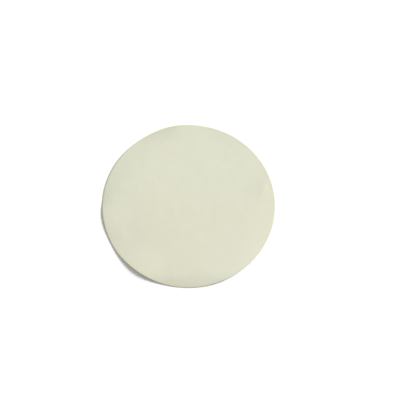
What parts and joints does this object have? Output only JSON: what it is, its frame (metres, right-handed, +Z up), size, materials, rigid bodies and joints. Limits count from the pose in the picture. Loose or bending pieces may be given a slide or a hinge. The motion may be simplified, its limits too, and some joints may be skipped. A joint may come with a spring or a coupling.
{
  "type": "filter paper disc",
  "caption": "Round disc of pale cream filter paper, flat in the middle, with a die-cut edge that droops softly to the bench.",
  "frame": {"origin": "on the bench, below the centre of the disc", "axes": "+Z up out of the bench and along the disc's axis; +X to the right and +Y to the far side, with the broad bend on the left and the lifted edge at the far right"},
  "size_m": [0.09, 0.09, 0.0012],
  "materials": {
    "filter_paper": "matt, unglazed cotton-cellulose filter paper, pale cream with a faint green cast"
  },
  "bodies": {
    "root": {"paper_disc": "filter_paper"}
  },
  "joints": []
}
